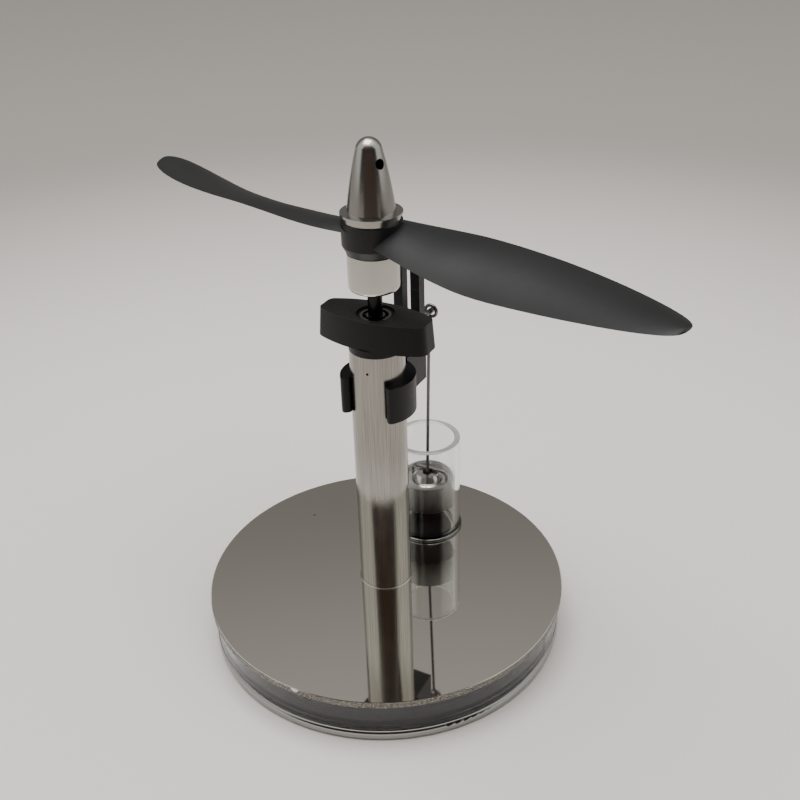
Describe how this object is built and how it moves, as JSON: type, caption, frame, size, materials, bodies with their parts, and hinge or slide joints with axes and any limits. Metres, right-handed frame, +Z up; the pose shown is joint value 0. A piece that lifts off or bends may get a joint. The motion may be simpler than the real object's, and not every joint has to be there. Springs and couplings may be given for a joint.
{
  "type": "hot air engine",
  "caption": "Hot air engine with a flat displacer chamber, an upright column, a glass power cylinder and a propeller that turns on a vertical shaft.",
  "frame": {"origin": "centre of the underside of the base, on the axis of the column", "axes": "+Z up along the column and the shaft, +Y from the column to the power cylinder, -Y towards the opening of the clip on the column"},
  "size_m": [0.1636, 0.1, 0.1406],
  "materials": {
    "plate_aluminium": "satin, turned",
    "mirror_plate": "mirror polished, with a rough edge",
    "clear_wall": "clear, slightly scratched",
    "seal": "matte",
    "displacer_foam": "matte",
    "steel_rod": "ground",
    "steel_wire": "drawn",
    "bright_steel": "polished",
    "dark_steel": "blued and ground",
    "bearing_steel": "ground",
    "brass": "turned",
    "black_print": "matte, printed",
    "tube_aluminium": "brushed along its length",
    "adapter_aluminium": "turned and polished",
    "insert_aluminium": "satin",
    "cylinder_glass": "clear",
    "graphite": "fine ground graphite",
    "propeller_grey": "matte, moulded"
  },
  "bodies": {
    "frame": {"bottom_plate": "plate_aluminium", "lower_seal": "seal", "chamber_wall": "clear_wall", "upper_seal": "seal", "mirror_plate": "mirror_plate", "rod_gland": "brass", "tube_foot_ring": "bright_steel", "column_tube": "tube_aluminium", "bearing_carrier": "black_print", "lower_bearing_outer_race": "bearing_steel", "upper_bearing_outer_race": "bearing_steel", "lower_bearing_balls": "bearing_steel", "upper_bearing_balls": "bearing_steel", "head_block": "black_print", "fork_bracket": "black_print", "cylinder_seat": "bright_steel", "glass_cylinder": "cylinder_glass"},
    "shaft": {"main_shaft": "dark_steel", "displacer_cam": "black_print", "lower_bearing_inner_race": "bearing_steel", "upper_bearing_inner_race": "bearing_steel", "prop_collar": "adapter_aluminium", "collet_stud": "adapter_aluminium", "propeller": "propeller_grey", "clamp_washer": "adapter_aluminium", "spinner_nut": "adapter_aluminium"},
    "rocker": {"wobble_hub": "black_print", "hub_liner": "brass", "rocker_arm": "steel_wire"},
    "piston": {"power_piston": "graphite", "piston_insert": "insert_aluminium", "ball_socket": "insert_aluminium", "piston_clip": "steel_wire"},
    "rod": {"connecting_rod": "steel_wire"},
    "displacer": {"displacer": "displacer_foam", "displacer_rod": "steel_rod", "displacer_yoke": "black_print"}
  },
  "joints": [
    {"name": "shaft_spin", "type": "hinge", "parent": "frame", "child": "shaft", "pos_m": [0, 0, 0.1], "axis": [0, 0, 1], "continuous": true},
    {"name": "piston_travel", "type": "slide", "parent": "frame", "child": "piston", "axis": [0, 0, 1], "range_m": [-0.005, 0.0093]},
    {"name": "rocker_swing", "type": "hinge", "parent": "frame", "child": "rocker", "pos_m": [0, 0, 0.088], "axis": [1, 0, 0], "range_deg": [-10.6, 19.6]},
    {"name": "rod_swing", "type": "hinge", "parent": "piston", "child": "rod", "pos_m": [0, 0.0269, 0.029], "axis": [1, 0, 0], "range_deg": [-0.8, 0.8]},
    {"name": "displacer_travel", "type": "slide", "parent": "frame", "child": "displacer", "axis": [0, 0, 1], "range_m": [-0.0019, 0.0019]}
  ],
  "couplings": [
    {"joint": "rocker_swing", "follows": "piston_travel", "rad_per_m": 36.5}
  ]
}
